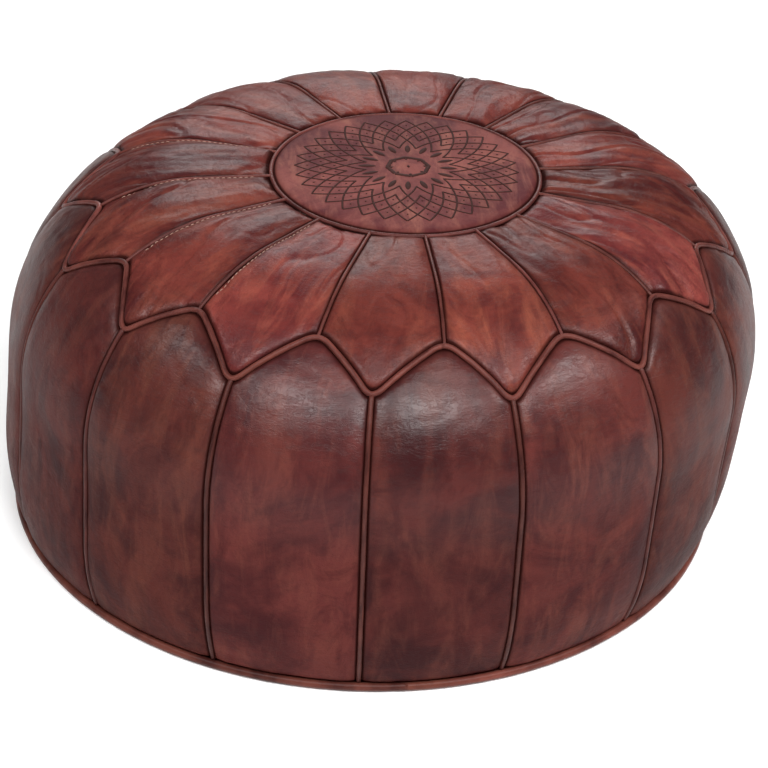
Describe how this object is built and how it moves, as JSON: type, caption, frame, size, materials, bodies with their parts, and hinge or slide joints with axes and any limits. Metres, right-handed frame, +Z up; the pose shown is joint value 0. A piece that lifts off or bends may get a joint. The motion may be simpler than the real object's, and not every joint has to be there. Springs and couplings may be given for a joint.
{
  "type": "leather pouf",
  "caption": "Round stuffed leather pouf with a petal top, an embroidered medallion, pointed side panels, piped seams and a zip under the base.",
  "frame": {"origin": "middle of the flat ring that stands on the floor, at floor level", "axes": "+Z up through the medallion, -Y front through one corner of the zigzag seam, +X along the zip towards its closed end"},
  "size_m": [0.594, 0.594, 0.288],
  "materials": {
    "medallion_leather": "worn satin",
    "top_leather": "waxed, mottled red-brown",
    "side_leather": "waxed, mottled dark red-brown",
    "base_leather": "matt",
    "welt_leather": "waxed",
    "embroidery_thread": "dark silky thread",
    "piping_cord": "natural cotton",
    "zip_tape": "woven",
    "zip_metal": "brushed",
    "liner_cotton": "plain weave",
    "stuffing": "loose cotton"
  },
  "bodies": {
    "pouf": {"top_medallion": "medallion_leather", "medallion_embroidery": "embroidery_thread", "medallion_welt": "welt_leather", "radial_welts": "welt_leather", "zigzag_welt": "welt_leather", "side_welts": "welt_leather", "base_welt": "welt_leather", "base_welt_cord": "piping_cord", "base_front": "base_leather", "base_back": "base_leather", "zip_tape_front": "zip_tape", "zip_tape_back": "zip_tape", "zip_teeth_front": "zip_metal", "zip_teeth_back": "zip_metal", "zip_bottom_stop": "zip_metal", "zip_top_stops": "zip_metal", "cotton_liner": "liner_cotton", "filling": "stuffing", "top_petal_01": "top_leather", "top_petal_02": "top_leather", "top_petal_03": "top_leather", "top_petal_04": "top_leather", "top_petal_05": "top_leather", "top_petal_06": "top_leather", "top_petal_07": "top_leather", "top_petal_08": "top_leather", "top_petal_09": "top_leather", "top_petal_10": "top_leather", "top_petal_11": "top_leather", "top_petal_12": "top_leather", "top_petal_13": "top_leather", "top_petal_14": "top_leather", "top_petal_15": "top_leather", "top_petal_16": "top_leather", "side_panel_01": "side_leather", "side_panel_02": "side_leather", "side_panel_03": "side_leather", "side_panel_04": "side_leather", "side_panel_05": "side_leather", "side_panel_06": "side_leather", "side_panel_07": "side_leather", "side_panel_08": "side_leather", "side_panel_09": "side_leather", "side_panel_10": "side_leather", "side_panel_11": "side_leather", "side_panel_12": "side_leather", "side_panel_13": "side_leather", "side_panel_14": "side_leather", "side_panel_15": "side_leather", "side_panel_16": "side_leather"},
    "slider": {"zip_slider": "zip_metal"},
    "pull": {"zip_pull": "zip_metal"}
  },
  "joints": [
    {"name": "zip_slide", "type": "slide", "parent": "pouf", "child": "slider", "axis": [-1, 0, 0], "range_m": [0, 0.37], "deforming": ["zip_teeth_front", "zip_teeth_back", "zip_tape_front", "zip_tape_back"]},
    {"name": "pull_hinge", "type": "hinge", "parent": "slider", "child": "pull", "pos_m": [0.1875, 0, 0.0038], "axis": [0, 1, 0], "range_deg": [0, 180]}
  ]
}
